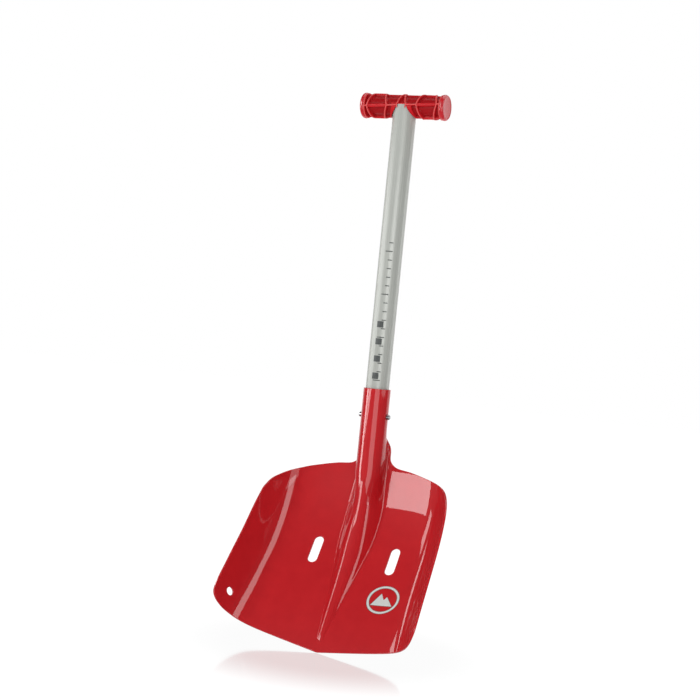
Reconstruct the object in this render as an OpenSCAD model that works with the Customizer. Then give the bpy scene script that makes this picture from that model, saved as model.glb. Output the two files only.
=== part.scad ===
// Avalanche shovel: a pressed blade with a rolled socket, a tube shaft held by
// two snap buttons, and a lattice T-grip. Units are millimetres.
// +Z runs up the shaft, +X along the grip, and the scoop faces -Y.
// The blade's tip stands on z = 0.

/* [Shaft] */
// Outer diameter of the shaft tube
shaft_d = 27.4; // [27.4:0.1:28]
// Wall of the shaft tube
shaft_wall = 1.5; // [1.2:0.1:1.8]
// Height of the shaft's lower end
shaft_bottom = 210; // [208:1:214]

/* [Grip] */
// Height of the grip's axis
grip_z = 625; // [560:5:680]
// Length of the grip over its end caps
grip_length = 105; // [104:1:108]
// Diameter over the lattice ribs
grip_d = 29; // [28.6:0.1:30]
// Diameter of the end caps
cap_d = 30; // [29:0.2:32]

/* [Socket] */
// Height of the socket's rim
socket_top = 295; // [292:1:300]
// Sheet thickness of the blade and socket
sheet = 2.2; // [2:0.1:2.4]
// Running clearance between shaft and socket, on radius
socket_play = 0.08; // [0.04:0.01:0.1]

/* [Blade] */
// Height of the blade's top edge, at the socket
blade_top = 205; // [205:1:206]
// Length of the blade along its curved middle
blade_length = 238; // [236:1:240]
// Steepest lean of the blade, in degrees from upright
lift_max = 39; // [36:1:40]
// Angle the side wings are folded to
wing_angle = 67; // [62:1:68]
// Softness of the fold, as the width it is spread over
fold_soft = 14; // [12:1:16]
// Slope of each half of the cutting edge, in degrees
edge_angle = 9; // [8:0.5:10]

/* [Snap buttons] */
// Height of the two snap buttons
button_z = 263; // [250:1:275]
// Diameter of a snap button
button_d = 6; // [5.6:0.1:6.2]
// How far a button stands out of the socket
button_out = 3.8; // [3:0.1:4.2]

/* [Hidden] */
$fn = 64;
eps = 0.01;

// The shaft stands this far behind the origin, so the origin is under the middle.
shaft_y = 54.5;

shaft_r = shaft_d / 2;
bore_r = shaft_r + socket_play;
socket_r = bore_r + sheet;
shaft_bore_r = shaft_r - shaft_wall;
slip = 0.05;

red = [0.72, 0.11, 0.14];
silver = [0.80, 0.81, 0.78];
steel = [0.70, 0.71, 0.73];
black = [0.08, 0.08, 0.09];

// ---- the blade's shape: u is the fraction of its length, t the length itself ----

lift_peak_u = 0.67;
spine_steps = 60;
blade_back_y = socket_r - sheet;

function lift(u) = lift_max * (1 - pow((u - lift_peak_u) / lift_peak_u, 2));

// Points [t, y, z] down the middle of the blade, with the panel starting at the
// back of the socket.
spine = [
    for (i = 0, y = blade_back_y, z = blade_top;
         i <= spine_steps;
         i = i + 1,
         y = y - blade_length / spine_steps * sin(lift((i - 0.5) / spine_steps)),
         z = z - blade_length / spine_steps * cos(lift((i - 0.5) / spine_steps)))
    [i * blade_length / spine_steps, y, z]
];
spine_y = [for (p = spine) [p[0], p[1]]];
spine_z = [for (p = spine) [p[0], p[2]]];

function lean(t) = lift(max(0, t) / blade_length);

// A point of the blade: x across, t down the middle line, h out of the panel.
function on_blade(x, t, h) = [
    x,
    lookup(t, spine_y) - h * cos(lean(t)),
    lookup(t, spine_z) + max(0, -t) + h * sin(lean(t))
];

// Half the distance between the two fold lines.
function fold_x(t) = 92 + 11 * max(0, t) / blade_length;
// Rise of the folded wing above the panel, none at the middle.
function fold_rise(x, t) =
    let (f = fold_x(t), d = x - f)
    tan(wing_angle) / 2 * (x + sqrt(d * d + fold_soft * fold_soft) - sqrt(f * f + fold_soft * fold_soft));

// The outline: half width of the sheet at each station down the blade.
outline = [
    [-30, 18.2], [-7, 19.8], [0, 27], [3, 45], [8, 67], [15, 87], [22, 97.5], [32, 105],
    [53, 112], [87, 115.7], [135, 118], [180, 120], [222, 121.6], [229, 120.7],
    [233, 118.4], [236, 114], [blade_length, 105]
];

// The ridge that carries the socket down the blade: station, height, half width, and
// the share of the half width that its rounded crest takes.
ridge = [
    [-30, 29.6, 15.8, 0.4], [0, 29.7, 20, 0.4], [30, 27.2, 23, 0.4], [60, 22.4, 24.8, 0.45],
    [82, 19.4, 24.6, 0.52], [103, 16, 23, 0.6], [124, 12, 19.4, 0.68], [148, 8.2, 15.2, 0.78],
    [165, 6, 12.3, 0.8], [187, 3.8, 9, 0.8], [205, 2.4, 6.5, 0.8], [218, 1.4, 4.8, 0.8],
    [225, 0, 4, 0.8]
];
function ridge_column(t, k) = lookup(t, [for (r = ridge) [r[0], r[k]]]);
function ridge_height(t) = ridge_column(t, 1);
function ridge_half(t) = ridge_column(t, 2);
function crest_share(t) = ridge_column(t, 3);
// Share of the half width that the ridge's foot takes.
foot_share = 0.19;

// 1 where the ridge is still a round arch, 0 where it is a low swelling.
function archness(t) =
    let (s = min(1, max(0, (t - 5) / 57)))
    1 - s * s * (3 - 2 * s);
function arch_r(t) = min(socket_r + 0.8, socket_r - 0.7 + (t + 22) / 25);

// A point [x, h] of a round arch on straight legs, for p from 0 (crown) to 1 (foot).
function arch_point(p, t) =
    let (r = arch_r(t), h = ridge_height(t), w = ridge_half(t), foot = max(0.5, w - r))
    p < 0.6 ? [r * sin(150 * p), h - r + r * cos(150 * p)]
    : p < 0.8 ? [r, max(foot, (h - r) * (1 - (p - 0.6) / 0.2) + foot * (p - 0.6) / 0.2)]
    : [r + foot * (1 - cos(450 * (p - 0.8))), foot * (1 - sin(450 * (p - 0.8)))];
// The same for a low swelling: a rounded crest, straight flanks and a tight foot.
function swell_point(p, t) =
    let (crest = crest_share(t), steepest = 1 / (1 - (crest + foot_share) / 2))
    [ridge_half(t) * p,
     ridge_height(t) * (p < crest ? 1 - steepest * p * p / (2 * crest)
                        : p < 1 - foot_share ? 1 - steepest * (p - crest / 2)
                        : steepest * (1 - p) * (1 - p) / (2 * foot_share))];
function ridge_point(p, t) =
    archness(t) * arch_point(p, t) + (1 - archness(t)) * swell_point(p, t);

// Stations down the blade and the columns across one half of it.
stations = concat([-30, -22, -14, -7, 0, 3, 8, 15, 22, 32, 42],
                  [for (t = [53 : 12 : 206]) t],
                  [214, 222, 229, 233, 236, blade_length]);
ridge_steps = [for (i = [0 : 10]) i / 10];
panel_steps = [0.14, 0.3, 0.46, 0.6, 0.7, 0.77, 0.82, 0.86, 0.9, 0.935, 0.97, 1];

// The cutting edge is a shallow V: the last stations slope up towards the sides.
function edge_slope(t) = tan(edge_angle) * pow(max(0, (t - 90) / (blade_length - 90)), 1.5);

function station_x(i) =
    let (t = stations[i], foot = ridge_point(1, t)[0], w = lookup(t, outline))
    [for (s = panel_steps) foot + (w - foot) * s];

// One half of the section, as [x, h] from the crown to the edge.
function half_section(i) =
    let (t = stations[i])
    concat([for (p = ridge_steps) ridge_point(p, t)], [for (x = station_x(i)) [x, 0]]);

// The whole section from -x to +x, with the fold's rise added.
function section(i) =
    let (half = half_section(i), n = len(half), t = stations[i])
    [for (j = [1 - n : n - 1])
        let (p = half[abs(j)])
        [sign(j) * p[0], p[1] + fold_rise(p[0], t)]];

// The sheet's other face: the section moved back square to itself.
function moved_back(c) =
    [for (j = [0 : len(c) - 1])
        let (a = c[max(0, j - 1)], b = c[min(len(c) - 1, j + 1)], d = (b - a) / norm(b - a))
        c[j] + sheet * [d[1], -d[0]]];

function placed(c, i) =
    [for (p = c) on_blade(p[0], stations[i] - abs(p[0]) * edge_slope(stations[i]), p[1])];

columns = 2 * (len(ridge_steps) + len(panel_steps)) - 1;
rows = len(stations);
function vertex(back, i, j) = back * rows * columns + i * columns + j;
function quad(a, b, c, d) = [[a, b, c], [a, c, d]];

module sheet_solid() {
    front = [for (i = [0 : rows - 1]) each placed(section(i), i)];
    behind = [for (i = [0 : rows - 1]) each placed(moved_back(section(i)), i)];
    faces = concat(
        [for (i = [0 : rows - 2], j = [0 : columns - 2])
            each quad(vertex(0, i, j), vertex(0, i, j + 1),
                      vertex(0, i + 1, j + 1), vertex(0, i + 1, j))],
        [for (i = [0 : rows - 2], j = [0 : columns - 2])
            each quad(vertex(1, i, j), vertex(1, i + 1, j),
                      vertex(1, i + 1, j + 1), vertex(1, i, j + 1))],
        [for (j = [0 : columns - 2])
            each quad(vertex(0, 0, j), vertex(1, 0, j),
                      vertex(1, 0, j + 1), vertex(0, 0, j + 1))],
        [for (j = [0 : columns - 2])
            each quad(vertex(0, rows - 1, j), vertex(0, rows - 1, j + 1),
                      vertex(1, rows - 1, j + 1), vertex(1, rows - 1, j))],
        [for (i = [0 : rows - 2])
            each quad(vertex(0, i, 0), vertex(0, i + 1, 0),
                      vertex(1, i + 1, 0), vertex(1, i, 0))],
        [for (i = [0 : rows - 2])
            each quad(vertex(0, i, columns - 1), vertex(1, i, columns - 1),
                      vertex(1, i + 1, columns - 1), vertex(0, i + 1, columns - 1))]
    );
    polyhedron(concat(front, behind), faces, convexity = 8);
}

// ---- openings in the blade ----

slot_x = 48.5;
// Both slots sit this far right of the middle.
slot_shift = 2.5;
slot_t = 113;
slot_length = 34.5;
slot_d = 11.4;
hole_d = 9.5;
hole_x = 111.8;
hole_station = 213.2;

module stadium(length, d) {
    translate([0, (length - d) / 2]) circle(d = d);
    translate([0, (d - length) / 2]) circle(d = d);
    square([d, length - d], center = true);
}

// A snow-anchor slot, cut square to the panel.
module slot_cut(side) {
    translate(on_blade(side * slot_x + slot_shift, slot_t, 0))
        rotate([90 - lean(slot_t), 0, 0])
            translate([0, 0, -12])
                linear_extrude(24) stadium(slot_length, slot_d);
}

hole_t = hole_station - hole_x * edge_slope(hole_station);
hole_slope = atan(fold_rise(hole_x + 0.5, hole_station) - fold_rise(hole_x - 0.5, hole_station));

// The cord hole in the left wing, cut square to the wing.
module hole_cut() {
    translate(on_blade(-hole_x, hole_t, fold_rise(hole_x, hole_station)))
        rotate([90 - lean(hole_t), 0, 0])
            rotate([0, hole_slope, 0])
                cylinder(h = 16, d = hole_d, center = true);
}

module button_bore(r) {
    translate([0, 0, button_z])
        rotate([0, 90, 0])
            cylinder(h = 60, r = r, center = true);
}

// ---- sub-parts ----

// Lower end of the closed part of the socket, where its back opens into the ridge.
tube_bottom = blade_top + 25;

module blade() {
    color(red)
    translate([0, shaft_y, 0])
    difference() {
        union() {
            translate([0, 0, tube_bottom]) cylinder(h = socket_top - tube_bottom, r = socket_r);
            sheet_solid();
        }
        translate([0, 0, blade_top - 20]) cylinder(h = 150, r = bore_r);
        button_bore(button_d / 2 + 0.35);
        for (side = [-1, 1]) slot_cut(side);
        hole_cut();
    }
}

shaft_top = grip_z + 1;

module shaft_tube() {
    color(silver)
    translate([0, shaft_y, 0])
    difference() {
        translate([0, 0, shaft_bottom]) cylinder(h = shaft_top - shaft_bottom, r = shaft_r);
        translate([0, 0, shaft_bottom - 1])
            cylinder(h = shaft_top - shaft_bottom + 2, r = shaft_bore_r);
        button_bore(button_d / 2 + 0.08);
    }
}

plug_lip = 2.5;

module shaft_end_plug() {
    color(black)
    translate([0, shaft_y, shaft_bottom - plug_lip]) {
        cylinder(h = plug_lip, r = shaft_r - 0.4);
        cylinder(h = plug_lip + 9, r = shaft_bore_r - slip);
    }
}

button_flange_r = button_d / 2 + 1.2;
button_root = shaft_bore_r - 2;
button_tip = socket_r + button_out;

// A snap button pointing along +X: inner flange, shank and domed head.
module snap_button() {
    dome = 1.4;
    rotate([0, 90, 0])
        rotate_extrude()
            polygon(concat(
                [[0, button_root], [button_flange_r, button_root],
                 [button_flange_r, button_root + 1], [button_d / 2, button_root + 1]],
                [for (a = [0 : 15 : 90])
                    [button_d / 2 * cos(a), button_tip - dome + dome * sin(a)]]
            ));
}

module button_right() {
    color(steel)
    translate([0, shaft_y, button_z]) snap_button();
}

module button_left() {
    color(steel)
    translate([0, shaft_y, button_z]) mirror([1, 0, 0]) snap_button();
}

spring_width = 8;
spring_strip = 0.9;
spring_bend_r = 4;
spring_bend_z = -36;

// One edge of the hairpin, down one leg, round the bend and up the other leg.
function hairpin(leg_x, bend_r) = concat(
    [[-leg_x, 5], [-leg_x, -4]],
    [for (a = [180 : 15 : 360]) [bend_r * cos(a), spring_bend_z + bend_r * sin(a)]],
    [[leg_x, -4], [leg_x, 5]]
);

// A hairpin of strip steel, open at the top, with its legs against the buttons.
module button_spring() {
    leg_x = button_root - slip;
    outer = hairpin(leg_x, spring_bend_r);
    inner = hairpin(leg_x - spring_strip, spring_bend_r - spring_strip);
    color(steel)
    translate([0, shaft_y + spring_width / 2, button_z])
        rotate([90, 0, 0])
            linear_extrude(spring_width)
                polygon(concat(outer, [for (i = [len(inner) - 1 : -1 : 0]) inner[i]]));
}

// ---- grip ----

cap_thick = 5;
grip_half = grip_length / 2 - cap_thick;
core_r = 10;
cell_pitch = 16;
cell_twist = 8;
cap_bore_r = 6;
spigot_length = 42;

// One hexagonal pocket of the lattice, pointing out along +Z.
module pocket() {
    translate([0, 0, core_r - 1])
        linear_extrude(10)
            polygon([[9.4, 0], [4.6, 12], [-4.6, 12], [-9.4, 0], [-4.6, -12], [4.6, -12]]);
}

// The lattice: a cylinder with rings of pockets, each ring turned half a cell.
module lattice() {
    difference() {
        rotate([0, 90, 0]) cylinder(h = 2 * grip_half, d = grip_d, center = true);
        difference() {
            for (i = [-3 : 3], k = [0 : 2])
                rotate([90 - cell_twist + 120 * k + 60 * abs(i % 2), 0, 0])
                    translate([i * cell_pitch, 0, 0]) pocket();
            rotate([0, 90, 0]) cylinder(h = 2 * grip_half + 60, r = core_r, center = true);
            for (side = [-1, 1])
                translate([side * (grip_half + 10), 0, 0])
                    rotate([0, 90, 0]) cylinder(h = 24, r = 20, center = true);
        }
    }
}

module grip_body() {
    color(red)
    translate([0, shaft_y, grip_z]) {
        difference() {
            lattice();
            translate([0, 0, shaft_top - grip_z - 30]) cylinder(h = 30, r = shaft_r + 1.2);
            for (side = [-1, 1])
                translate([side * (grip_half - 10), 0, 0])
                    rotate([0, 90, 0]) cylinder(h = 20 + 2 * eps, r = cap_bore_r, center = true);
        }
        translate([0, 0, shaft_top - grip_z - spigot_length])
            cylinder(h = spigot_length + 1, r = shaft_bore_r - slip);
    }
}

// An end cap pointing along +X: a disc with a rounded rim, and a spigot behind it.
module grip_cap() {
    rim = 1.5;
    rotate([0, 90, 0])
        rotate_extrude()
            polygon(concat(
                [[0, grip_half - 14], [cap_bore_r - slip, grip_half - 14],
                 [cap_bore_r - slip, grip_half], [cap_d / 2 - rim, grip_half]],
                [for (a = [-90 : 30 : 90])
                    [cap_d / 2 - rim + rim * cos(a),
                     grip_half + (a < 0 ? rim : cap_thick - rim) + rim * sin(a)]],
                [[cap_d / 2 - rim - 1.2, grip_half + cap_thick - 0.5],
                 [0, grip_half + cap_thick - 0.5]]
            ));
}

module grip_cap_right() {
    color(red)
    translate([0, shaft_y, grip_z]) grip_cap();
}

module grip_cap_left() {
    color(red)
    translate([0, shaft_y, grip_z]) mirror([1, 0, 0]) grip_cap();
}

blade();
shaft_tube();
shaft_end_plug();
button_left();
button_right();
button_spring();
grip_body();
grip_cap_left();
grip_cap_right();
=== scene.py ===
"""Looks of the avalanche shovel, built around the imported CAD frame."""

import math

import bmesh
import bpy
import numpy as np
from mathutils import Matrix, Vector, geometry


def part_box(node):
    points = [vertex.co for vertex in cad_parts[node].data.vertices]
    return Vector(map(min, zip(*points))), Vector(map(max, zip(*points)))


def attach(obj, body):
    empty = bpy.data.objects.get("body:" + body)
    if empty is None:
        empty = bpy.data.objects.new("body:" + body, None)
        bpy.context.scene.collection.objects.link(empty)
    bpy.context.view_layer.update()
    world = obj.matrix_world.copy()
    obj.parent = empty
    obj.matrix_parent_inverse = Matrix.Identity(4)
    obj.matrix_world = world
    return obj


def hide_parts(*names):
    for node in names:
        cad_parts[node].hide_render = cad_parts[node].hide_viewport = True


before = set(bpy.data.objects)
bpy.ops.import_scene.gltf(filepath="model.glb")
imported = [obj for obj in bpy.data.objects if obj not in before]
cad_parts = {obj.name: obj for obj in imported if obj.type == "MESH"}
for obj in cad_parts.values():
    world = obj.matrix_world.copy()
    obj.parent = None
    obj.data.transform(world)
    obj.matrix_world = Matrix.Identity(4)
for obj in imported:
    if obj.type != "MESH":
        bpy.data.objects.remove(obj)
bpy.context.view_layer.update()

MM = 0.001

# ---- driving dimensions, in millimetres, read from the frame ----


def box_mm(node):
    """The lowest and highest corner of a CAD node, in millimetres."""
    low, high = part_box(node)
    return np.array(low) / MM, np.array(high) / MM


shaft_low, shaft_high = box_mm("shaft_tube")
blade_low, blade_high = box_mm("blade")
cap_low, cap_high = box_mm("grip_cap_right")
body_low, body_high = box_mm("grip_body")
button_low, button_high = box_mm("button_right")

AXIS_Y = (shaft_low[1] + shaft_high[1]) / 2
SHAFT_R = (shaft_high[0] - shaft_low[0]) / 2
SHAFT_WALL = 1.5
SHEET = 2.2
SOCKET_PLAY = 0.08
SOCKET_R = SHAFT_R + SOCKET_PLAY + SHEET
SOCKET_TOP = blade_high[2]
GRIP_Z = (cap_low[2] + cap_high[2]) / 2
GRIP_R = (body_high[1] - body_low[1]) / 2
GRIP_HALF = body_high[0]
CAP_R = (cap_high[2] - cap_low[2]) / 2
CAP_THICK = cap_high[0] - body_high[0]
BUTTON_Z = (button_low[2] + button_high[2]) / 2
BUTTON_TIP = button_high[0]

# The blade's shape, as in the CAD. Stations run down the blade, from 0 where the socket ends.
SOCKET_LENGTH = 90
BLADE_TOP = SOCKET_TOP - SOCKET_LENGTH
BLADE_LENGTH = 238
BLADE_BACK_Y = SOCKET_R - SHEET
LIFT_MAX = 39
LIFT_PEAK = 0.67
WING_ANGLE = 67
FOLD_SOFT = 14
FOLD_X = (92, 103)
EDGE_START, EDGE_ANGLE = 90, 9
SEAM_GAP = 0.8
UNROLL_START, UNROLL_END = -46, -15
RIDGE_BLEND = (5, 62)
SLOT_X, SLOT_SHIFT, SLOT_T = 48.5, 2.5, 113
SLOT_LENGTH, SLOT_D = 34.5, 11.4
HOLE_X, HOLE_STATION, HOLE_D = 111.8, 213.2, 9.5


# ---- small helpers ----


def smoothstep(value, low, high):
    """0 below low, 1 above high, and an even S between."""
    t = np.clip((value - low) / (high - low), 0, 1)
    return t * t * (3 - 2 * t)


def smooth_table(points, blur=3.0, step=0.25):
    """A smooth function close to the points, with no overshoot: monotone cubic, then blurred."""
    x, y = np.array(points, float).T
    gap, rise = np.diff(x), np.diff(y)
    secant = rise / gap
    slope = np.zeros_like(y)
    slope[0], slope[-1] = secant[0], secant[-1]
    same = secant[:-1] * secant[1:] > 0
    w1 = 2 * gap[1:] + gap[:-1]
    w2 = gap[1:] + 2 * gap[:-1]
    with np.errstate(divide="ignore", invalid="ignore"):
        mean = (w1 + w2) / (w1 / secant[:-1] + w2 / secant[1:])
    slope[1:-1] = np.where(same, mean, 0)

    reach = 4 * blur
    at = np.arange(x[0] - 2 * reach, x[-1] + 2 * reach, step)
    value = np.clip(at, x[0], x[-1])
    i = np.clip(np.searchsorted(x, value) - 1, 0, len(gap) - 1)
    u = (value - x[i]) / gap[i]
    curve = (
        y[i] * (1 + 2 * u) * (1 - u) ** 2
        + slope[i] * gap[i] * u * (1 - u) ** 2
        + y[i + 1] * u * u * (3 - 2 * u)
        + slope[i + 1] * gap[i] * u * u * (u - 1)
    )
    weights = np.exp(-0.5 * (np.arange(-reach, reach + step, step) / blur) ** 2)
    blurred = np.convolve(curve, weights / weights.sum(), mode="same")
    return lambda wanted: np.interp(np.clip(wanted, x[0], x[-1]), at, blurred)


def new_object(name, verts, faces, body, material, smooth_angle=35):
    """A mesh piece from points in millimetres around the shaft's axis."""
    mesh = bpy.data.meshes.new(name)
    points = [(x * MM, (y + AXIS_Y) * MM, z * MM) for x, y, z in verts]
    mesh.from_pydata(points, [], faces)
    mesh.validate()
    mesh.materials.append(material)
    obj = bpy.data.objects.new(name, mesh)
    bpy.context.scene.collection.objects.link(obj)
    mesh.shade_smooth()
    mesh.set_sharp_from_angle(angle=math.radians(smooth_angle))
    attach(obj, body)
    return obj


def lathe(profile, steps, along="z", flip=False):
    """Turns a closed profile of (radius, height) points about an axis. Radius 0 closes to a point."""
    verts, rings, faces = [], [], []
    for radius, height in profile:
        if radius < 1e-6:
            rings.append([len(verts)] * steps)
            verts.append((0, 0, height))
            continue
        rings.append(list(range(len(verts), len(verts) + steps)))
        for k in range(steps):
            a = 2 * math.pi * k / steps
            verts.append((radius * math.cos(a), radius * math.sin(a), height))
    for low, high in zip(rings, rings[1:]):
        for k in range(steps):
            n = (k + 1) % steps
            loop = [low[k], low[n], high[n], high[k]]
            faces.append(tuple(dict.fromkeys(loop)))
    if along == "x":
        verts = [(z, y, -x) for x, y, z in verts]
    if flip:
        verts = [(-x, y, z) for x, y, z in verts]
        faces = [f[::-1] for f in faces]
    return verts, faces


# ---- the blade's surface ----

spine_t = np.linspace(0, BLADE_LENGTH, 241)


def lift(t):
    """How far the panel leans back from the shaft's line at a station, in radians."""
    u = np.clip(t, 0, BLADE_LENGTH) / BLADE_LENGTH
    return np.radians(LIFT_MAX) * (1 - ((u - LIFT_PEAK) / LIFT_PEAK) ** 2)


def run(values):
    """The running integral of values down the spine."""
    middle = (values[1:] + values[:-1]) / 2 * np.diff(spine_t)
    return np.concatenate([[0], np.cumsum(middle)])


spine_y = BLADE_BACK_Y - run(np.sin(lift(spine_t)))
spine_z = BLADE_TOP - run(np.cos(lift(spine_t)))

# The side edge of the sheet below the socket's seam, as (half width, station).
OUTLINE = [
    (19.2, -15), (20.4, -6), (27, 0), (47, 3.4), (67, 8), (84, 13.4), (97, 21.5), (106, 34),
    (112, 53), (115.7, 87), (118, 135), (120, 180), (121.6, 222), (120.7, 229), (118, 233.6),
    (112.5, 237), (105, BLADE_LENGTH),
]
CROWN = BLADE_BACK_Y + SOCKET_R
ridge_height = smooth_table(
    [(-95, CROWN), (0, CROWN), (30, 27.2), (60, 22.4), (82, 19.4), (103, 16), (124, 12), (148, 8.2),
     (165, 6), (187, 3.8), (205, 2.5), (219, 1.7), (225, 0), (BLADE_LENGTH, 0)]
)
ridge_half = smooth_table(
    [(-95, 17.2), (-18, 17.6), (0, 20), (30, 23), (60, 24.8), (82, 24.6), (103, 23), (124, 19.4),
     (148, 15.2), (165, 12.3), (187, 9), (205, 6.5), (218, 4.8), (225, 4), (BLADE_LENGTH, 4)]
)
# Share of the ridge's half width that its rounded crest takes, and that its foot takes.
crest_share = smooth_table(
    [(-95, 0.4), (40, 0.4), (60, 0.45), (82, 0.52), (103, 0.6), (124, 0.68), (148, 0.78),
     (165, 0.8), (BLADE_LENGTH, 0.8)]
)
FOOT_SHARE = 0.21


def fold_rise(x, t):
    """Rise of the folded wing above the panel, none at the middle."""
    fold_x = FOLD_X[0] + (FOLD_X[1] - FOLD_X[0]) * np.maximum(t, 0) / BLADE_LENGTH
    d = x - fold_x
    rise = x + np.sqrt(d * d + FOLD_SOFT**2) - np.sqrt(fold_x * fold_x + FOLD_SOFT**2)
    return math.tan(math.radians(WING_ANGLE)) / 2 * rise


def edge_slope(t):
    """How much a station's line drops away from the middle, which points the blade's edge."""
    share = np.maximum(0, (t - EDGE_START) / (BLADE_LENGTH - EDGE_START))
    return math.tan(math.radians(EDGE_ANGLE)) * share**1.5


def foot_q(t):
    """Length over the sheet from the ridge's crown to its foot."""
    h, w = ridge_height(t), ridge_half(t)
    arch = math.pi / 2 * SOCKET_R + np.maximum(h - w, 0) + math.pi / 2 * (w - SOCKET_R)
    open_share = smoothstep(t, *RIDGE_BLEND)
    return arch * (1 - open_share) + w * (1 + 0.25 * (h / np.maximum(w, 1)) ** 2) * open_share


def omega(p, t):
    """The socket opened out: a round crown, straight legs and a fillet onto the panel."""
    h, w = ridge_height(t), ridge_half(t)
    r = np.minimum(SOCKET_R, w - 0.5)
    foot = w - r
    leg = np.maximum(h - w, 0)
    squeeze = np.minimum(h / w, 1)
    lengths = math.pi / 2 * r, leg, math.pi / 2 * foot
    q = p * sum(lengths)
    a = np.minimum(q / r, math.pi / 2)
    down = np.clip(q - lengths[0], 0, leg)
    b = np.clip((q - lengths[0] - leg) / foot, 0, math.pi / 2)
    x = r * np.sin(a) + foot * (1 - np.cos(b))
    fall = (r * (1 - np.cos(a)) + foot * np.sin(b)) * squeeze + down
    return x, h - fall


def swell(p, t):
    """The ridge lower down: a rounded crest, straight flanks and a tight foot."""
    crest = crest_share(t)
    steepest = 1 / (1 - (crest + FOOT_SHARE) / 2)
    on_crest = 1 - steepest * p * p / (2 * crest)
    on_flank = 1 - steepest * (p - crest / 2)
    on_foot = steepest * (1 - p) ** 2 / (2 * FOOT_SHARE)
    share = np.where(p < crest, on_crest, np.where(p < 1 - FOOT_SHARE, on_flank, on_foot))
    return ridge_half(t) * p, ridge_height(t) * share


def closed(q):
    """The socket tube, from its front (q = 0) to the seam at its back."""
    h = ridge_height(-SOCKET_LENGTH)
    return SOCKET_R * np.sin(q / SOCKET_R), h - SOCKET_R * (1 - np.cos(q / SOCKET_R))


def section(q, t):
    """A point (x, h) of the sheet's face, q along it from the crown and t down the blade."""
    foot = foot_q(t)
    p = np.clip(q / foot, 0, 1)
    low = smoothstep(t, *RIDGE_BLEND)
    ox, oh = omega(p, t)
    sx, sh = swell(p, t)
    past = np.maximum(q - foot, 0)
    x = ox * (1 - low) + sx * low + past
    h = oh * (1 - low) + sh * low
    cx, ch = closed(np.minimum(q, math.pi * SOCKET_R))
    shut = 1 - smoothstep(t, UNROLL_START, UNROLL_END)
    return cx * shut + x * (1 - shut), ch * shut + h * (1 - shut)


def on_blade(x, t, h):
    """Row-frame point, around the shaft's axis, h out of the panel at t down the blade."""
    lean = lift(t)
    y = np.interp(t, spine_t, spine_y) - h * np.cos(lean)
    z = np.interp(t, spine_t, spine_z) + np.maximum(0, -t) + h * np.sin(lean)
    return np.stack([x, y, z], axis=-1)


def sheet_point(q, t):
    """The sheet's front face at signed q across and station t."""
    x, h = section(np.abs(q), t)
    h = h + fold_rise(x, t) * smoothstep(t, UNROLL_END, 0)
    return on_blade(np.sign(q) * x, t - x * edge_slope(t), h)


def station_of(x, t):
    """The station whose line passes through x across and t down."""
    station = t
    for _ in range(20):
        station = t + x * edge_slope(station)
    return station


def q_of(x, t):
    """The length across the sheet at x, where x is on the panel."""
    return foot_q(t) + x - ridge_half(t)


# ---- meshes cut from a surface: points in a flat plan, carried onto the surface ----


def spline(points, steps=40):
    """A smooth path through the points (centripetal Catmull-Rom)."""
    p = np.array(points, float)
    p = np.vstack([2 * p[0] - p[1], p, 2 * p[-1] - p[-2]])
    path = []
    for a, b, c, d in zip(p, p[1:], p[2:], p[3:]):
        k1, k2, k3 = (np.linalg.norm(v) ** 0.5 for v in (b - a, c - b, d - c))
        m1 = (c - b) + k2 * ((b - a) / k1 - (c - a) / (k1 + k2))
        m2 = (c - b) + k2 * ((d - c) / k3 - (d - b) / (k2 + k3))
        for u in np.linspace(0, 1, steps, endpoint=False):
            path.append((2 * u**3 - 3 * u * u + 1) * b + (u**3 - 2 * u * u + u) * m1
                        + (3 * u * u - 2 * u**3) * c + (u**3 - u * u) * m2)
    return np.array([*path, p[-2]])


def inside(points, loop):
    """Which plan points lie inside a closed loop (even-odd rule)."""
    x, y = points[:, 0:1], points[:, 1:2]
    ax, ay = loop.T
    bx, by = np.roll(loop, -1, axis=0).T
    crosses = (ay > y) != (by > y)
    with np.errstate(divide="ignore", invalid="ignore"):
        at = ax + (y - ay) * (bx - ax) / (by - ay)
    return (crosses & (x < at)).sum(axis=1) % 2 == 1


def signed_area(loop):
    """The loop's area, positive where it runs anticlockwise."""
    x, y = loop.T
    return 0.5 * np.sum(x * np.roll(y, -1) - np.roll(x, -1) * y)


def resample(surface, path, spacing):
    """Points spaced evenly along an open plan path, as it runs over the surface, without the last."""
    length = np.concatenate([[0], np.cumsum(np.linalg.norm(np.diff(surface(*path.T), axis=0), axis=1))])
    count = max(2, int(round(length[-1] / spacing)))
    marks = np.linspace(0, length[-1], count, endpoint=False)
    return np.stack([np.interp(marks, length, path[:, k]) for k in range(2)], axis=1)


def closed_loop(surface, path, spacing):
    """The same for a path that returns to its first point."""
    return resample(surface, np.vstack([path, path[:1]]), spacing)


def unit(v):
    return v / np.linalg.norm(v, axis=-1, keepdims=True)


def surface_normals(surface, plan, step=0.02):
    """Unit normals of the surface at plan points, by central differences."""
    q, t = plan.T
    along = surface(q, t + step) - surface(q, t - step)
    across = surface(q + step, t) - surface(q - step, t)
    return unit(np.cross(along, across))


def rim_rows(point, normal, outward, thickness, corner, steps=3):
    """Rows of (points, normals) round the edge of the sheet, from its face to its back."""
    rows = []
    for depth, turn in ((corner, 0), (thickness - corner, 90)):
        centre = point - corner * outward - depth * normal
        for k in range(steps + 1):
            a = math.radians(turn + 90 * k / steps)
            direction = math.cos(a) * normal + math.sin(a) * outward
            rows.append((centre + corner * direction, direction))
    return rows


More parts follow.
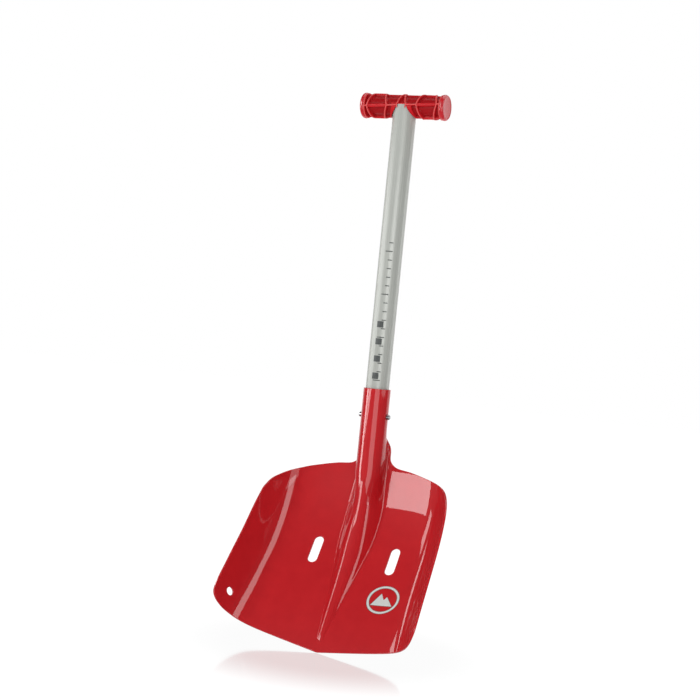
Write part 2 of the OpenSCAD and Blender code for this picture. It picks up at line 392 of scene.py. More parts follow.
def sheet_mesh(surface, loops, fill, thickness, corner):
    """Verts, normals and faces of a sheet bounded by loops (outer first), with rounded edges.

    The surface is its face. fill holds the plan points inside, and those too near an edge are left out.
    """
    loops = [loop if (signed_area(loop) > 0) == (i == 0) else loop[::-1] for i, loop in enumerate(loops)]
    edge = np.vstack(loops)
    keep = inside(fill, loops[0])
    for hole in loops[1:]:
        keep &= ~inside(fill, hole)
    fill = fill[keep]
    edge_3d, fill_3d = surface(*edge.T), surface(*fill.T)
    spacing = np.linalg.norm(edge_3d[1] - edge_3d[0])
    near = np.array([np.min(np.sum((edge_3d - p) ** 2, axis=1)) for p in fill_3d])
    fill = fill[near > (0.7 * spacing + corner) ** 2]
    plan = np.vstack([edge, fill])

    starts = np.cumsum([0] + [len(loop) for loop in loops])
    pairs = [
        (a + k, a + (k + 1) % (b - a)) for a, b in zip(starts, starts[1:]) for k in range(b - a)
    ]
    result = geometry.delaunay_2d_cdt([Vector(p) for p in plan], pairs, [], 0, 1e-7)
    plan = np.array([tuple(v) for v in result[0]])
    order = {source: new for new, sources in enumerate(result[3]) for source in sources}
    triangles = np.array(result[2])
    middles = plan[triangles].mean(axis=1)
    keep = inside(middles, loops[0])
    for hole in loops[1:]:
        keep &= ~inside(middles, hole)
    triangles = triangles[keep]

    point, normal = surface(*plan.T), surface_normals(surface, plan)
    face, back = point.copy(), point - thickness * normal
    count = len(plan)
    rims = []
    for a, b in zip(starts, starts[1:]):
        ring = np.array([order[k] for k in range(a, b)])
        tangent = unit(point[np.roll(ring, -1)] - point[np.roll(ring, 1)])
        outward = unit(np.cross(normal[ring], tangent))
        rows = rim_rows(point[ring], normal[ring], outward, thickness, corner)
        face[ring] = rows[0][0]
        back[ring] = rows[-1][0]
        rims.append((ring, rows))
    verts = [*face, *back]
    normals = [*normal, *-normal]
    faces = []
    a, b, c = (point[triangles[:, k]] for k in range(3))
    outwards = np.sum(np.cross(b - a, c - a) * normal[triangles[:, 0]], axis=1) > 0
    for tri, good in zip(triangles.tolist(), outwards):
        front = tri if good else tri[::-1]
        faces.append(tuple(front))
        faces.append(tuple(count + k for k in front[::-1]))
    for ring, rows in rims:
        indices = [ring]
        for points, directions in rows[1:-1]:
            indices.append(np.arange(len(verts), len(verts) + len(ring)))
            verts += list(points)
            normals += list(directions)
        indices.append(ring + count)
        for upper, lower in zip(indices, indices[1:]):
            n = len(ring)
            quads = [
                (int(upper[k]), int(lower[k]), int(lower[(k + 1) % n]), int(upper[(k + 1) % n]))
                for k in range(n)
            ]
            p = [np.array(verts)[[quad[k] for quad in quads]] for k in range(3)]
            facing = np.cross(p[1] - p[0], p[2] - p[1])
            right_way = np.sum(facing * np.array(normals)[[quad[0] for quad in quads]]) > 0
            faces += quads if right_way else [quad[::-1] for quad in quads]
    return np.array(verts), np.array(normals), faces


def joined(parts):
    """Several sheets as one set of verts, normals and faces."""
    verts, normals, faces = [], [], []
    for v, n, f in parts:
        faces += [tuple(i + len(verts) for i in face) for face in f]
        verts += list(v)
        normals += list(n)
    return np.array(verts), np.array(normals), faces


def add_sheet(name, parts, body, material):
    """A piece from sheet_mesh's verts, normals and faces, shaded by those normals."""
    verts, normals, faces = parts
    obj = new_object(name, verts, faces, body, material, smooth_angle=180)
    obj.data.normals_split_custom_set_from_vertices(normals.tolist())
    return obj


# ---- materials ----


def map_range(tree, source, low, high, start, end, smooth=False):
    """Carries low to high over to start to end, in a straight line or an even S."""
    node = tree.nodes.new("ShaderNodeMapRange")
    if smooth:
        node.interpolation_type = "SMOOTHSTEP"
    limits = {"From Min": low, "From Max": high, "To Min": start, "To Max": end}
    for name, value in limits.items():
        node.inputs[name].default_value = value
    tree.links.new(source, node.inputs["Value"])
    return node.outputs["Result"]


def procedural(name, colour, shade, roughness, metallic=0.0, coat=0.0, coat_roughness=0.05,
               grain=(400, 400, 400), roughness_vary=0.06, bump=0.02, bump_scale=(900, 900, 900),
               bump_depth=0.0001, specular=0.5):
    """A surface whose colour drifts from colour to shade, with varied roughness and fine relief."""
    mat = bpy.data.materials.new(name)
    mat.use_nodes = True
    mat.diffuse_color = (*colour, 1)
    nodes, links = mat.node_tree.nodes, mat.node_tree.links
    shader = nodes["Principled BSDF"]
    shader.inputs["Metallic"].default_value = metallic
    shader.inputs["Coat Weight"].default_value = coat
    shader.inputs["Coat Roughness"].default_value = coat_roughness
    shader.inputs["Specular IOR Level"].default_value = specular
    coordinates = nodes.new("ShaderNodeTexCoord")

    def noise(scale, detail):
        mapping = nodes.new("ShaderNodeMapping")
        mapping.inputs["Scale"].default_value = scale
        texture = nodes.new("ShaderNodeTexNoise")
        texture.inputs["Scale"].default_value = 1.0
        texture.inputs["Detail"].default_value = detail
        links.new(coordinates.outputs["Object"], mapping.inputs["Vector"])
        links.new(mapping.outputs["Vector"], texture.inputs["Vector"])
        return texture.outputs["Fac"]

    drift = noise(grain, 4.0)
    ramp = nodes.new("ShaderNodeValToRGB")
    ramp.color_ramp.elements[0].position = 0.3
    ramp.color_ramp.elements[0].color = (*shade, 1)
    ramp.color_ramp.elements[1].position = 0.7
    ramp.color_ramp.elements[1].color = (*colour, 1)
    links.new(drift, ramp.inputs["Fac"])
    links.new(ramp.outputs["Color"], shader.inputs["Base Color"])

    gloss = map_range(mat.node_tree, drift, 0, 1, roughness - roughness_vary, roughness + roughness_vary)
    links.new(gloss, shader.inputs["Roughness"])

    relief = nodes.new("ShaderNodeBump")
    relief.inputs["Strength"].default_value = bump
    relief.inputs["Distance"].default_value = bump_depth
    links.new(noise(bump_scale, 2.0), relief.inputs["Height"])
    links.new(relief.outputs["Normal"], shader.inputs["Normal"])
    return mat


def blade_paint():
    """Glossy red stoving paint over aluminium, with a trace of orange peel."""
    return procedural("blade_paint", (0.56, 0.009, 0.014), (0.52, 0.007, 0.012), 0.5, coat=1.0,
                      coat_roughness=0.03, grain=(60, 60, 60), bump=0.25, bump_scale=(260, 260, 260),
                      bump_depth=0.00004, specular=0.1)


def shaft_aluminium():
    """Matt anodised tube, drawn along its length."""
    return procedural("shaft_aluminium", (0.47, 0.485, 0.45), (0.425, 0.44, 0.41), 0.27, metallic=0.05,
                      grain=(1500, 1500, 12), roughness_vary=0.05, bump=0.15,
                      bump_scale=(3000, 3000, 25), bump_depth=0.00003, specular=0.4)


def cap_plastic():
    """Semi-gloss moulded plastic in the same red."""
    return procedural("cap_plastic", (0.6, 0.012, 0.022), (0.54, 0.009, 0.017), 0.24,
                      grain=(250, 250, 250), bump=0.1, bump_scale=(1400, 1400, 1400),
                      bump_depth=0.00003, specular=0.9)


def grip_plastic():
    """The same plastic, with painted shade darkening the lattice's hollows and a painted highlight paling
    its ribs.
    """
    mat = procedural("grip_plastic", (0.56, 0.009, 0.015), (0.5, 0.006, 0.011), 0.33,
                     grain=(250, 250, 250), bump=0.1, bump_scale=(1400, 1400, 1400),
                     bump_depth=0.00003, specular=0.12)
    nodes, links = mat.node_tree.nodes, mat.node_tree.links
    shader = nodes["Principled BSDF"]
    coordinates = nodes.new("ShaderNodeTexCoord")
    from_axis = nodes.new("ShaderNodeVectorMath")
    from_axis.operation = "SUBTRACT"
    from_axis.inputs[1].default_value = (0, AXIS_Y * MM, GRIP_Z * MM)
    radial = nodes.new("ShaderNodeVectorMath")
    radial.operation = "MULTIPLY"
    radial.inputs[1].default_value = (0, 1, 1)
    radius = nodes.new("ShaderNodeVectorMath")
    radius.operation = "LENGTH"
    links.new(coordinates.outputs["Object"], from_axis.inputs[0])
    links.new(from_axis.outputs["Vector"], radial.inputs[0])
    links.new(radial.outputs["Vector"], radius.inputs[0])
    colour = shader.inputs["Base Color"].links[0].from_socket
    # Painted shade darkens the colour deep in the lattice's hollows, and a painted highlight pales it on
    # the ribs' tops; both go by distance from the grip's axis.
    pocket_shade = (GRIP_CORE, 13.0, 0.5, 0, (0.15, 0.0015, 0.002, 1))
    ribs = (13.7, GRIP_R - 0.1, 0, 0.45, (0.85, 0.17, 0.16, 1))
    for low, high, start, end, painted_light_tint in (pocket_shade, ribs):
        share = map_range(mat.node_tree, radius.outputs["Value"], low * MM, high * MM, start, end)
        mix = nodes.new("ShaderNodeMix")
        mix.data_type = "RGBA"
        mix.inputs["B"].default_value = painted_light_tint
        links.new(share, mix.inputs["Factor"])
        links.new(colour, mix.inputs["A"])
        colour = mix.outputs["Result"]
    links.new(colour, shader.inputs["Base Color"])
    return mat


def black_plastic():
    """Matt moulded plastic for the shaft's hidden plug."""
    return procedural("black_plastic", (0.022, 0.022, 0.024), (0.012, 0.012, 0.013), 0.5,
                      bump=0.3, bump_scale=(1800, 1800, 1800))


def button_steel():
    """Turned steel, brushed round by the lathe tool."""
    return procedural("button_steel", (0.62, 0.62, 0.64), (0.48, 0.48, 0.5), 0.28, metallic=1.0,
                      grain=(5000, 900, 900), bump=0.1, bump_scale=(6000, 900, 900))


def shaft_ink():
    """The dark grey ink of the printed marks."""
    return procedural("shaft_ink", (0.075, 0.085, 0.083), (0.055, 0.062, 0.06), 0.5,
                      grain=(700, 700, 700), bump=0.1)


def badge_silver():
    """The badge's silver foil."""
    return procedural("badge_silver", (0.80, 0.84, 0.82), (0.74, 0.78, 0.76), 0.35, metallic=0.25,
                      grain=(900, 900, 900), bump=0.15)


# ---- pieces ----


def make_blade(material):
    """The sheet, from its plan outline, its openings and points inside that are dense on curves."""
    row_step = 2.5
    rows = np.arange(row_step - SOCKET_LENGTH, BLADE_LENGTH - 1, row_step)
    crown = np.linspace(0, 1, 21)
    panel = np.concatenate([np.arange(2.5, 64, 2.8), np.arange(64.5, 105, 1.2)])
    fill = []
    for t in rows:
        if t < 0:
            half = np.linspace(0, 49, 25)
        else:
            half = np.concatenate([crown * foot_q(t), foot_q(t) + panel])
        for q in half:
            fill += [(q, t), (-q, t)] if q > 0 else [(q, t)]
    seam = math.pi * SOCKET_R - SEAM_GAP / 2
    x, t = np.array(OUTLINE, float).T
    lower_edge = np.stack([q_of(x, t), t], axis=1)
    upper_edge = [(seam, -SOCKET_LENGTH), (seam, -55), (seam - 1, -45), (seam - 5.5, -31)]
    right = spline([*upper_edge, *lower_edge])
    left = np.stack([-right[::-1, 0], right[::-1, 1]], axis=1)
    bottom = np.linspace(right[-1], left[0], 400)
    top = np.linspace(left[-1], right[0], 400)
    sides = [resample(sheet_point, s, 1.9) for s in (right, bottom, left, top)]
    loops = [np.vstack(sides)]

    turn = np.radians(np.arange(0, 360, 12))
    for side in (-1, 1):
        ring = np.stack([side * math.pi / 2 * SOCKET_R + BUTTON_HOLE_R * np.cos(turn),
                         BLADE_TOP - BUTTON_Z + BUTTON_HOLE_R * np.sin(turn)], axis=1)
        loops.append(ring)

    straight = (SLOT_LENGTH - SLOT_D) / 2
    ends = np.radians(np.arange(0, 181, 3))
    lower = np.stack([SLOT_D / 2 * np.cos(ends), straight + SLOT_D / 2 * np.sin(ends)], axis=1)
    stadium = np.vstack([lower, -lower])
    for side in (-1, 1):
        x = SLOT_X + side * SLOT_SHIFT + stadium[:, 0]
        t = station_of(x, SLOT_T + stadium[:, 1])
        loops.append(closed_loop(sheet_point, np.stack([side * q_of(x, t), t], axis=1), 1.4))

    around = np.radians(np.arange(0, 360, 4))
    t = HOLE_STATION + HOLE_D / 2 * np.sin(around)
    x = HOLE_X + HOLE_D / 2 * math.cos(HOLE_SLOPE) * np.cos(around)
    loops.append(closed_loop(sheet_point, np.stack([-q_of(x, t), t], axis=1), 1.2))
    sheet = sheet_mesh(sheet_point, loops, np.array(fill), SHEET, 0.5)
    blade = add_sheet("blade_sheet", sheet, "blade", material)
    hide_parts("blade")


def rounded_profile(corners, steps=4):
    """A lathe profile through (radius, height, rounding) corners."""
    profile = []
    for k, (r, z, fillet) in enumerate(corners):
        here = np.array([r, z], float)
        if fillet == 0:
            profile.append((r, z))
            continue
        before = unit(np.array(corners[k - 1][:2], float) - here)
        after = unit(np.array(corners[(k + 1) % len(corners)][:2], float) - here)
        start, end = here + before * fillet, here + after * fillet
        for s in np.linspace(0, 1, steps + 1):
            profile.append(tuple((1 - s) ** 2 * start + 2 * s * (1 - s) * here + s * s * end))
    return profile


def raised(verts, height):
    return [(x, y, z + height) for x, y, z in verts]


def cut(obj, cutter, operation="DIFFERENCE"):
    """Applies a boolean with a helper mesh, which is removed."""
    modifier = obj.modifiers.new("cut", "BOOLEAN")
    modifier.operation = operation
    modifier.solver = "EXACT"
    modifier.object = cutter
    depsgraph = bpy.context.evaluated_depsgraph_get()
    mesh = bpy.data.meshes.new_from_object(obj.evaluated_get(depsgraph))
    obj.modifiers.clear()
    old = obj.data
    obj.data = mesh
    bpy.data.meshes.remove(old)
    bpy.data.objects.remove(cutter)


def helper(verts, faces):
    """A temporary solid, for cutting with."""
    mesh = bpy.data.meshes.new("helper")
    mesh.from_pydata([(x * MM, (y + AXIS_Y) * MM, z * MM) for x, y, z in verts], [], faces)
    obj = bpy.data.objects.new("helper", mesh)
    bpy.context.scene.collection.objects.link(obj)
    return obj


def make_shaft(material):
    """The tube, with a bore right across it for the two buttons."""
    inner = SHAFT_R - SHAFT_WALL
    corners = [(inner, SHAFT_BOTTOM, 0.3), (SHAFT_R, SHAFT_BOTTOM, 0.4),
               (SHAFT_R, SHAFT_TOP, 0.4), (inner, SHAFT_TOP, 0.3)]
    profile = rounded_profile(corners)
    verts, faces = lathe(profile + profile[:1], 96)
    shaft = new_object("shaft", verts, faces, "handle", material)
    weld(shaft)
    bore_r, past = BUTTON_D / 2 + 0.08, 30
    bore, bore_faces = lathe([(0, -past), (bore_r, -past), (bore_r, past), (0, past)], 32, along="x")
    cut(shaft, helper(raised(bore, BUTTON_Z), bore_faces))
    shaft.data.set_sharp_from_angle(angle=math.radians(35))
    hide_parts("shaft_tube")
    return shaft


def weld(obj):
    """Merges the points that a lathe leaves doubled, and turns every face outwards."""
    mesh = bmesh.new()
    mesh.from_mesh(obj.data)
    bmesh.ops.remove_doubles(mesh, verts=mesh.verts, dist=1e-6)
    bmesh.ops.recalc_face_normals(mesh, faces=mesh.faces)
    mesh.to_mesh(obj.data)
    mesh.free()


def make_plug(material):
    """The plug in the shaft's lower end: a dished lip below a spigot."""
    lip = SHAFT_R - 0.4
    spigot = SHAFT_R - SHAFT_WALL - 0.05
    bottom = SHAFT_BOTTOM - PLUG_LIP
    dish, top = bottom + 0.8, SHAFT_BOTTOM + 9
    profile = rounded_profile([
        (0, dish, 0), (6, dish, 0.5), (7, bottom, 0.4), (lip, bottom, 0.8), (lip, SHAFT_BOTTOM, 0.2),
        (spigot, SHAFT_BOTTOM, 0.1), (spigot, top, 1.0), (0, top, 0)])
    verts, faces = lathe(profile, 64)
    plug = new_object("end_plug", verts, faces, "handle", material)
    weld(plug)
    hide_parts("shaft_end_plug")


def make_button(side, name, material):
    """A snap button: a flange inside the tube, a straight pin and a domed tip."""
    r, flange, top = BUTTON_D / 2, BUTTON_D / 2 + 1.2, BUTTON_ROOT + 1
    profile = rounded_profile([
        (0, BUTTON_ROOT, 0), (flange, BUTTON_ROOT, 0.2), (flange, top, 0.2), (r, top, 0.1),
        (r, BUTTON_TIP - 1.2, 0.5), (r * 0.72, BUTTON_TIP - 0.25, 0.6), (0, BUTTON_TIP, 0)])
    verts, faces = lathe(profile, 48, along="x", flip=side < 0)
    button = new_object(f"snap_{name}", raised(verts, BUTTON_Z), faces, name, material)
    weld(button)
    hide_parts("button_right" if side > 0 else "button_left")


def grip_ribs():
    """Centre lines of the ribs, as segments in (x, angle): stretched hexagons, two round the grip."""
    ribs = []
    cells = [(side * CELL_X, base) for side in (-1, 1) for base in (0, 180)]
    cells += [(side * (CELL_X - CELL_PITCH), base) for side in (-1, 1) for base in (90, -90)]
    cells += [(side * (CELL_X + CELL_PITCH), base) for side in (-1, 1) for base in (90, -90)]
    for x, base in cells:
        corners = [(x - CELL_HALF, base), (x - CELL_FLAT, base + 90), (x + CELL_FLAT, base + 90),
                   (x + CELL_HALF, base), (x + CELL_FLAT, base - 90), (x - CELL_FLAT, base - 90)]
        ribs += list(zip(corners, corners[1:] + corners[:1]))
    return ribs, cells


def lattice_radius(gx, ga):
    """The grip's radius, gx along it and ga degrees round it from the front."""
    per_degree = math.pi / 180 * GRIP_R
    twist = GRIP_TWIST * gx / CELL_X

    def round_angle(value):
        return (value + 180) % 360 - 180

    ribs, cells = grip_ribs()
    nearest = np.full(gx.shape, 99.0)
    for (x0, a0), (x1, a1) in ribs:
        middle = (a0 + a1) / 2
        px = gx - x0
        pa = (round_angle(ga - twist - middle) + middle - a0) * per_degree
        dx, da = x1 - x0, (a1 - a0) * per_degree
        share = np.clip((px * dx + pa * da) / (dx * dx + da * da), 0, 1)
        nearest = np.minimum(nearest, np.hypot(px - share * dx, pa - share * da))
    rib = 1 - smoothstep(nearest, RIB_HALF, RIB_HALF + 1.2)

    bar = np.zeros(gx.shape)
    for cell_x, base in cells:
        from_bar = np.abs(round_angle(ga - twist - base)) * per_degree
        across = 1 - smoothstep(from_bar, BAR_HALF, BAR_HALF + 1.5)
        bar = np.maximum(bar, np.where(np.abs(gx - cell_x) < CELL_HALF, across, 0))

    # Plain collars at the two ends, and a plain saddle around the shaft, below its top.
    collar = smoothstep(np.abs(gx), GRIP_HALF - 1.9, GRIP_HALF - 1.2)
    a = np.radians(ga)
    from_shaft = np.hypot(gx, GRIP_CORE * np.cos(a))
    saddle = 1 - smoothstep(from_shaft, SHAFT_R + 2.6, SHAFT_R + 3.4)
    saddle *= 1 - smoothstep(GRIP_R * np.sin(a), SHAFT_TOP - GRIP_Z + 1.5, SHAFT_TOP - GRIP_Z + 2.3)

    full = (GRIP_R - GRIP_CORE) * np.maximum(rib, collar)
    partial = (BAR_R - GRIP_CORE) * np.maximum(bar, saddle)
    return GRIP_CORE + np.maximum(full, partial)


def make_grip(material):
    """The lattice bar, cut out for the shaft and given a spigot that fills the tube's end."""
    steps, around = 236, 200
    gx, ga = np.meshgrid(np.linspace(-GRIP_HALF, GRIP_HALF, steps + 1),
                         np.linspace(-180, 180, around, endpoint=False), indexing="ij")
    radius, a = lattice_radius(gx, ga), np.radians(ga)
    ring = np.stack([gx, -radius * np.cos(a), radius * np.sin(a)], axis=-1)
    verts = list(ring.reshape(-1, 3))
    faces = []
    for i in range(0, steps * around, around):
        for k in range(around):
            n = (k + 1) % around
            faces.append((i + k, i + n, i + around + n, i + around + k))
    last = steps * around
    faces += [tuple(range(around)), tuple(range(last + around - 1, last - 1, -1))]
    grip = new_object("grip", raised(verts, GRIP_Z), faces, "handle", material,
                      smooth_angle=55)
    weld(grip)
    outer, below = SHAFT_R + 1.2, SHAFT_TOP - 40
    room, room_faces = lathe([(0, below), (outer, below), (outer, SHAFT_TOP), (0, SHAFT_TOP)], 96)
    cut(grip, helper(room, room_faces))
    inner, below, above = SHAFT_R - SHAFT_WALL - 0.05, SHAFT_TOP - 42, SHAFT_TOP + 1
    profile = rounded_profile([(0, below, 0), (inner, below, 1.0), (inner, above, 0), (0, above, 0)])
    spigot, spigot_faces = lathe(profile, 96)
    cut(grip, helper(spigot, spigot_faces), "UNION")
    grip.data.set_sharp_from_angle(angle=math.radians(55))
    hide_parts("grip_body")


def make_cap(side, name, material):
    """An end disc with a dished face, on a peg that goes into the grip."""
    face = GRIP_HALF + CAP_THICK
    peg_r, peg_end = 5.95, GRIP_HALF - 14
    profile = rounded_profile([
        (0, peg_end, 0), (peg_r, peg_end, 0.5), (peg_r, GRIP_HALF, 0),
        (CAP_R - 0.8, GRIP_HALF, 0.5), (CAP_R, GRIP_HALF + 0.9, 0.6), (CAP_R, face - 1.7, 1.2),
        (CAP_R - 1.7, face, 0.8), (CAP_R - 2.6, face - 0.7, 0.4), (6, face - 1.1, 2), (0, face - 1.2, 0)])
    verts, faces = lathe(profile, 96, along="x", flip=side < 0)
    cap = new_object(f"end_{name}", raised(verts, GRIP_Z), faces, "handle", material)
    weld(cap)
    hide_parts(name)


# ---- generic printed marks ----


def on_shaft(s, z):
    """The shaft's face, s round it from the front and z up, raised by the ink."""
    r = SHAFT_R + INK
    a = s / SHAFT_R
    return np.stack([r * np.sin(a), -r * np.cos(a), z], axis=-1)


def rectangle(x0, x1, y0, y1):
    return np.array([(x0, y0), (x1, y0), (x1, y1), (x0, y1)])


def fill_points(loop, spacing):
    """A grid of plan points over the loop's box."""
    low, high = loop.min(axis=0), loop.max(axis=0)
    xs, ys = (np.arange(low[k] + spacing / 2, high[k], spacing) for k in (0, 1))
    grid = np.array([(a, b) for a in xs for b in ys]).reshape(-1, 2)
    return grid if len(grid) else low[None]


def make_scale(material):
    """A depth scale on the shaft: ticks each centimetre, and bold blocks below."""
    parts = []
    for k in range(SCALE_TICKS):
        z = SCALE_BOTTOM + 10 * k
        bold = k % 5 == 0
        parts.append(rectangle(SCALE_S - (3.6 if bold else 0), SCALE_S + 5, z - 0.5, z + 0.5))
        if k < SCALE_BLOCKS and k % 2 == 0:
            parts.append(rectangle(SCALE_S - 5, SCALE_S + 2.6, z + 1.4, z + 8.6))
    marks = []
    for part in parts:
        loop = closed_loop(on_shaft, part, MARK_SPACING)
        marks.append(sheet_mesh(on_shaft, [loop], fill_points(part, MARK_SPACING), INK + 0.02, 0.02))
    add_sheet("depth_scale", joined(marks), "handle", material)


def badge_surface(lift_off):
    """The right panel's face, x across and t down, raised by lift_off."""
    def at(x, t):
        q = q_of(np.maximum(x, 30), t)
        point = sheet_point(q, t)
        return point + lift_off * surface_normals(sheet_point, np.stack([q, t], axis=-1))
    return at


def make_badge(silver, ink):
    """A plain ring with a pair of peaks inside, as a raised foil with a dark border."""
    peaks = np.array([(-13, 8), (-4, -8.5), (0.8, 0), (3.6, -4.5), (12.5, 8)], float)
    turn = np.radians(np.arange(0, 360, 3))
    circle = np.stack([np.cos(turn), np.sin(turn)], axis=1)
    middle = peaks.mean(axis=0)
    for name, grow, height, material in (("badge_border", 0.5, 0.06, ink),
                                         ("badge_foil", 0.0, 0.12, silver)):
        surface = badge_surface(height)
        grown_peaks = middle + (peaks - middle) * (1 + grow / 7)
        ring = [circle * (BADGE_OUTER + grow), circle * (BADGE_INNER - grow)]
        parts = []
        for shape in ([grown_peaks], ring):
            loops = [closed_loop(surface, loop + (BADGE_X, BADGE_T), MARK_SPACING) for loop in shape]
            fill = fill_points(loops[0], 1.4)
            parts.append(sheet_mesh(surface, loops, fill, height + 0.02, 0.03))
        add_sheet(name, joined(parts), "blade", material)


# ---- dimensions of what is hidden or printed ----

SHAFT_BOTTOM, SHAFT_TOP = shaft_low[2], shaft_high[2]
PLUG_LIP = 2.5
BUTTON_D = 6.0
BUTTON_HOLE_R = BUTTON_D / 2 + 0.35
BUTTON_ROOT = SHAFT_R - SHAFT_WALL - 2
HOLE_SLOPE = math.atan(fold_rise(HOLE_X + 0.5, HOLE_STATION) - fold_rise(HOLE_X - 0.5, HOLE_STATION))
GRIP_CORE = 10.8
CELL_X, CELL_PITCH, CELL_HALF, CELL_FLAT = 31, 19, 12.6, 6.4
GRIP_TWIST = 6
RIB_HALF = 0.55
BAR_HALF, BAR_R = 1.6, 13.4
INK = 0.08
MARK_SPACING = 0.9
SCALE_BOTTOM, SCALE_TICKS, SCALE_BLOCKS, SCALE_S = 305, 17, 7, 2.5
BADGE_X, BADGE_T = 56.5, 166
BADGE_OUTER, BADGE_INNER = 19, 16.4

# ---- assembly ----

steel = button_steel()
red_plastic = cap_plastic()
ink = shaft_ink()
make_blade(blade_paint())
shaft = make_shaft(shaft_aluminium())
make_plug(black_plastic())
make_button(1, "right_button", steel)
make_button(-1, "left_button", steel)
make_grip(grip_plastic())
make_cap(1, "grip_cap_right", red_plastic)
make_cap(-1, "grip_cap_left", red_plastic)
make_scale(ink)
make_badge(badge_silver(), ink)
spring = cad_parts["button_spring"]
spring.data.materials.clear()
spring.data.materials.append(steel)

# ---- stage ----

FLOOR_HALF, FLOOR_GLOW = 6, 1.07
# The floor mirrors this share of what stands on it, and less and less between these distances.
FLOOR_MIRROR, FLOOR_FADE = 0.37, (0.11, 0.25)
WORLD_DARK = 0.06
BACKDROP = (-0.225, 0.974, 0.0)
TARGET = Vector((0, 0, 0.15))


def group(name, objects):
    """A collection that lights can be limited to."""
    collection = bpy.data.collections.new(name)
    for obj in objects:
        collection.objects.link(obj)
    return collection


def make_floor():
    """A white floor that glows by itself and faintly mirrors the shovel near its tip."""
    mesh = bpy.data.meshes.new("floor")
    corners = [(x * FLOOR_HALF, y * FLOOR_HALF, 0) for x, y in ((-1, -1), (1, -1), (1, 1), (-1, 1))]
    mesh.from_pydata(corners, [], [(0, 1, 2, 3)])
    floor = bpy.data.objects.new("floor", mesh)
    bpy.context.scene.collection.objects.link(floor)
    mat = bpy.data.materials.new("floor")
    mat.use_nodes = True
    nodes, links = mat.node_tree.nodes, mat.node_tree.links
    nodes.remove(nodes["Principled BSDF"])
    glow = nodes.new("ShaderNodeEmission")
    glow.inputs["Strength"].default_value = FLOOR_GLOW
    gloss = nodes.new("ShaderNodeBsdfGlossy")
    gloss.inputs["Roughness"].default_value = 0.1
    coordinates = nodes.new("ShaderNodeTexCoord")
    distance = nodes.new("ShaderNodeVectorMath")
    distance.operation = "LENGTH"
    links.new(coordinates.outputs["Object"], distance.inputs[0])
    share = map_range(mat.node_tree, distance.outputs["Value"], *FLOOR_FADE, FLOOR_MIRROR, 0, smooth=True)
    mix = nodes.new("ShaderNodeMixShader")
    links.new(share, mix.inputs["Fac"])
    links.new(glow.outputs["Emission"], mix.inputs[1])
    links.new(gloss.outputs["BSDF"], mix.inputs[2])
    links.new(mix.outputs["Shader"], nodes["Material Output"].inputs["Surface"])
    mesh.materials.append(mat)
    floor.visible_glossy = False
    floor.visible_shadow = False


def make_world():
    """White to the camera, dark to reflections except low down behind the shovel."""
    world = bpy.data.worlds.new("studio")
    bpy.context.scene.world = world
    world.use_nodes = True
    tree = world.node_tree
    nodes, links = tree.nodes, tree.links

    def math_node(operation, a, b):
        node = nodes.new("ShaderNodeMath")
        node.operation = operation
        links.new(a, node.inputs[0])
        links.new(b, node.inputs[1])
        return node.outputs["Value"]

    coordinates = nodes.new("ShaderNodeTexCoord")
    axes = nodes.new("ShaderNodeSeparateXYZ")
    links.new(coordinates.outputs["Generated"], axes.inputs["Vector"])
    facing = nodes.new("ShaderNodeVectorMath")
    facing.operation = "DOT_PRODUCT"
    facing.inputs[1].default_value = BACKDROP
    links.new(coordinates.outputs["Generated"], facing.inputs[0])
    behind = map_range(tree, facing.outputs["Value"], 0.42, 0.5, 0, 1, smooth=True)
    low_down = map_range(tree, axes.outputs["Z"], 0.4, 0.6, 1, 0, smooth=True)
    backdrop = nodes.new("ShaderNodeMath")
    backdrop.operation = "MAXIMUM"
    backdrop.inputs[1].default_value = WORLD_DARK
    links.new(math_node("MULTIPLY", behind, low_down), backdrop.inputs[0])
    path = nodes.new("ShaderNodeLightPath")
    strength = math_node("MAXIMUM", backdrop.outputs["Value"], path.outputs["Is Camera Ray"])
    background = nodes["Background"]
    background.inputs["Color"].default_value = (1, 1, 1, 1)
    links.new(strength, background.inputs["Strength"])


def area_light(name, azimuth, elevation, distance, size, radiance, receivers, roll=0.0):
    """A panel of light. Azimuth runs from -Y towards +X, and radiance is what a mirror would show."""
    a, e = math.radians(azimuth), math.radians(elevation)
    direction = Vector((math.sin(a) * math.cos(e), -math.cos(a) * math.cos(e), math.sin(e)))
    light = bpy.data.lights.new(name, "AREA")
    light.shape = "RECTANGLE"
    light.size, light.size_y = size
    light.energy = radiance * math.pi * size[0] * size[1]
    obj = bpy.data.objects.new(name, light)
    obj.location = TARGET + direction * distance
    aim = (-direction).to_track_quat("-Z", "Y").to_matrix()
    obj.rotation_euler = (aim @ Matrix.Rotation(math.radians(roll), 3, "Z")).to_euler()
    obj.visible_camera = False
    obj.light_linking.receiver_collection = receivers
    bpy.context.scene.collection.objects.link(obj)
    return obj


def softbox(name, azimuths, elevations, radiance, receivers, roll=0.0, distance=5.0):
    """A panel that fills a span of directions, and is seen only as a highlight."""
    azimuth, elevation = sum(azimuths) / 2, sum(elevations) / 2
    width = 2 * distance * math.tan(math.radians(abs(azimuths[1] - azimuths[0]) / 2))
    width *= math.cos(math.radians(elevation))
    height = 2 * distance * math.tan(math.radians((elevations[1] - elevations[0]) / 2))
    light = area_light(name, azimuth, elevation, distance, (width, height), radiance, receivers, roll)
    light.visible_diffuse = False


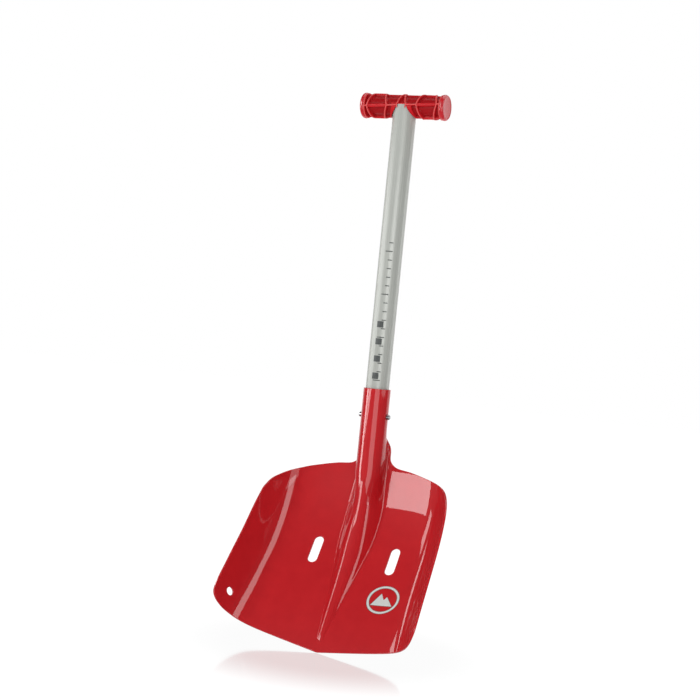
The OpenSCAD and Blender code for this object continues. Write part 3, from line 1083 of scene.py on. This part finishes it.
def fill_light(name, azimuth, elevation, size, radiance, distance=3.0):
    """A broad soft light with no highlight of its own."""
    light = area_light(name, azimuth, elevation, distance, size, radiance, all_pieces)
    light.visible_glossy = False


def make_camera():
    """A short telephoto view from the front right, a little below the grip."""
    camera = bpy.data.cameras.new("camera")
    camera.lens = 74.69
    camera.sensor_width = 36
    camera.clip_start = 0.05
    obj = bpy.data.objects.new("camera", camera)
    forward = Vector((-0.40500, 0.91419, -0.01500))
    up = Vector((-0.09640, -0.02638, 0.99499))
    right = forward.cross(up).normalized()
    up = right.cross(forward)
    turn = Matrix((right, up, -forward)).transposed()
    obj.matrix_world = Matrix.Translation((0.6537, -1.5105, 0.3621)) @ turn.to_4x4()
    bpy.context.scene.collection.objects.link(obj)
    bpy.context.scene.camera = obj


# The lights reach the shovel and not the floor. The satin shaft has highlights of its own, and the
# glossy pieces share the rest.
pieces = [obj for obj in bpy.data.objects if obj.type == "MESH"]
all_pieces = group("all_pieces", pieces)
shaft_alone = group("shaft_alone", [shaft])
all_but_shaft = group("all_but_shaft", [obj for obj in pieces if obj is not shaft])
make_floor()
make_world()
make_camera()

# Each highlight: the span of azimuth and of elevation that it fills, and its radiance.
softbox("key", (-25, -50), (-2, 28.5), 6.6, all_but_shaft, roll=8)
softbox("key_side", (-64, -76), (18, 36), 5.0, all_but_shaft)
softbox("low_strip", (-52, -68), (-14, -0.5), 9.0, all_but_shaft)
softbox("left_strip", (-89, -95), (15, 33), 5.0, all_but_shaft)
softbox("band", (6, 47), (-30, 1), 2.35, all_but_shaft)
softbox("rim", (69, 86), (5, 42), 3.6, all_but_shaft)
softbox("rim_low", (61, 102), (-1, 9), 1.8, all_but_shaft)
softbox("shaft_left", (-40, -98), (-6, 16), 4.0, shaft_alone)
softbox("shaft_right", (12, 45), (-6, 16), 4.5, shaft_alone)
softbox("shaft_edge", (118, 140), (-6, 16), 2.0, shaft_alone)
fill_light("fill", -5, 30, (4.5, 3.5), 1.7)
fill_light("back_fill", 175, 30, (3.0, 3.0), 1.4)
area_light("overhead", 150, 72, 2.2, (2.0, 2.0), 1.5, all_pieces)
bpy.context.scene.view_settings.view_transform = "Standard"
